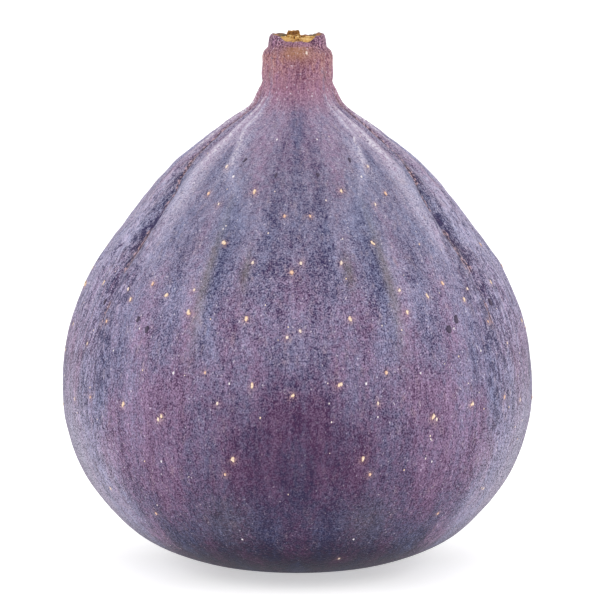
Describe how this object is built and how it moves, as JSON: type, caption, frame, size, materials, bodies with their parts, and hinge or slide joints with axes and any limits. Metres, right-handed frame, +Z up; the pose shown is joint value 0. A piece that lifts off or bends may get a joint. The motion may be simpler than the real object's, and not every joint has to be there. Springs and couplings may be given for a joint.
{
  "type": "fig",
  "caption": "Fresh purple fig with a bloomy, faintly veined skin, a short broken stem and a scaly eye in its base. Stands upright on a small flat spot.",
  "frame": {"origin": "middle of the bottom, on the surface that the fruit stands on", "axes": "+Z up along the fruit to its stem, -Y towards the front, +X to the right seen from the front"},
  "size_m": [0.0564, 0.0548, 0.064],
  "materials": {
    "skin": "thin fruit skin, purple under a pale blue-grey waxy bloom, reddish at the neck, almost matt",
    "flesh": "dry ochre flesh and torn pith of the broken stem"
  },
  "bodies": {
    "root": {"fig": "skin"}
  },
  "joints": []
}
